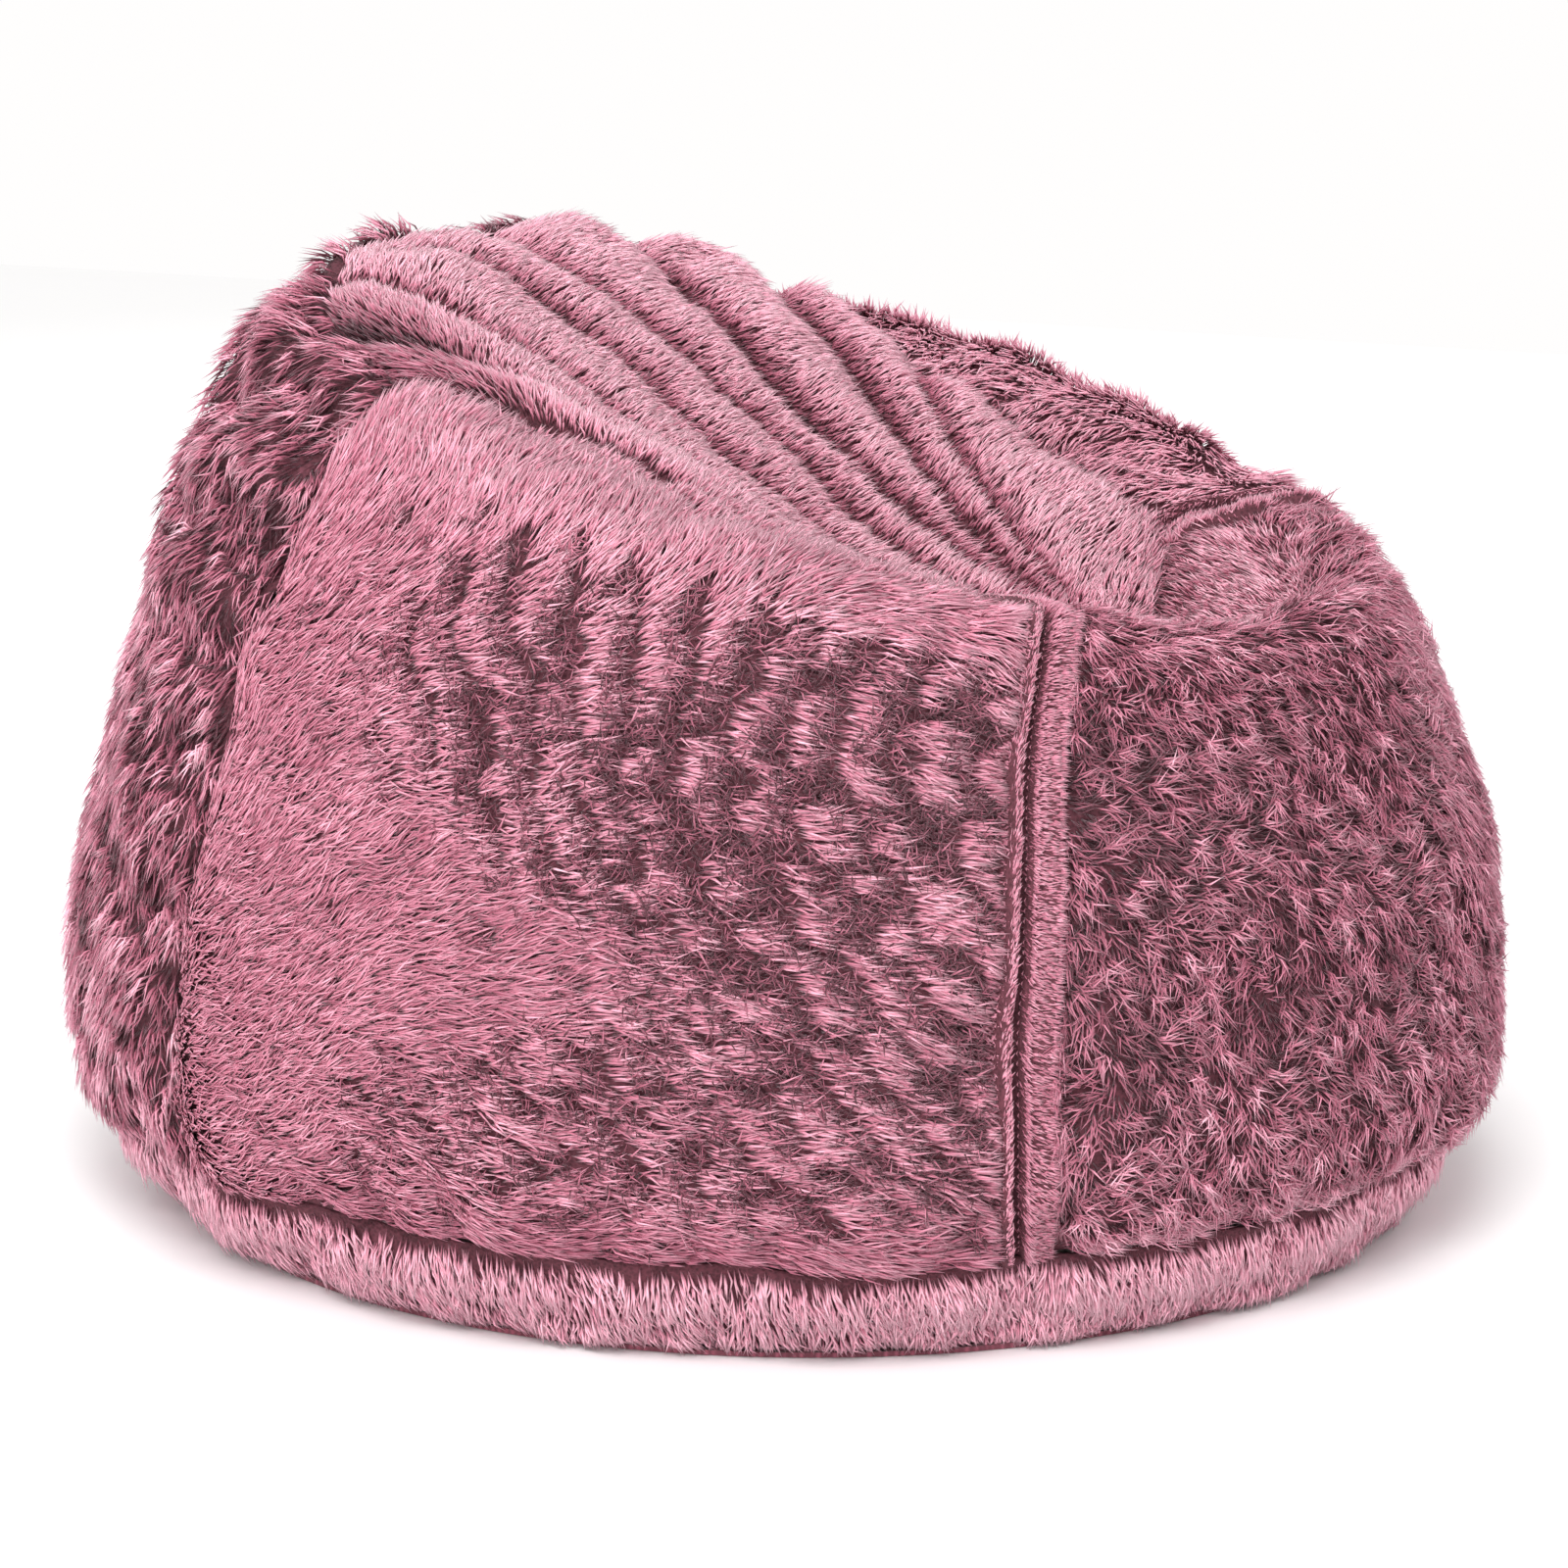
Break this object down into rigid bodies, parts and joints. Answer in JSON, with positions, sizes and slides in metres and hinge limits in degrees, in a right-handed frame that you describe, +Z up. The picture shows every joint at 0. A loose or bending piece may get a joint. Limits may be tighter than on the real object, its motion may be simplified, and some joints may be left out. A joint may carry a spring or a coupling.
{
  "type": "bean bag chair",
  "caption": "Round bean bag chair in long-pile fake fur, with a high gathered back, a seat hollow near the front, a zipped liner and a zipped flat base.",
  "frame": {"origin": "on the floor, at the middle of the chair's box in plan", "axes": "+Z up, -Y to the front, where the sitter's legs go; +X to the sitter's left"},
  "size_m": [0.8918, 0.9538, 0.606],
  "materials": {
    "fur": "long-pile knitted fake fur, dusty rose, paler at the tips and dark at the roots",
    "base_cloth": "flat woven polyester, dark rose",
    "liner_cloth": "thin undyed spun cloth",
    "beads": "expanded polystyrene beads, 3 to 5 mm",
    "zip_tape": "woven polyester tape",
    "zip_teeth": "moulded acetal teeth",
    "zip_metal": "die-cast slider and stops, satin",
    "label": "blank satin care label"
  },
  "bodies": {
    "chair": {"front_panel": "fur", "back_panel": "fur", "side_panel_left": "fur", "side_panel_right": "fur", "seat_panel": "fur", "base_band_front": "fur", "base_band_back": "fur", "base_panel_front": "base_cloth", "base_panel_back": "base_cloth", "care_label": "label", "cover_zip_tape_front": "zip_tape", "cover_zip_teeth_front": "zip_teeth", "cover_zip_tape_back": "zip_tape", "cover_zip_teeth_back": "zip_teeth", "cover_zip_stop_left": "zip_metal", "cover_zip_stop_right": "zip_metal", "liner_zip_tape_front": "zip_tape", "liner_zip_teeth_front": "zip_teeth", "liner_zip_tape_back": "zip_tape", "liner_zip_teeth_back": "zip_teeth", "liner_zip_stop_left": "zip_metal", "liner_zip_stop_right": "zip_metal", "liner_front": "liner_cloth", "liner_back": "liner_cloth", "liner_side_left": "liner_cloth", "liner_side_right": "liner_cloth", "liner_seat": "liner_cloth", "liner_base": "liner_cloth", "bead_fill": "beads"},
    "cover_slider": {"cover_zip_slider": "zip_metal"},
    "liner_slider": {"liner_zip_slider": "zip_metal"}
  },
  "joints": [
    {"name": "cover_zip_slide", "type": "slide", "parent": "chair", "child": "cover_slider", "axis": [-1, 0, 0], "range_m": [0, 0.536]},
    {"name": "liner_zip_slide", "type": "slide", "parent": "chair", "child": "liner_slider", "axis": [-1, 0, 0], "range_m": [0, 0.398]}
  ]
}
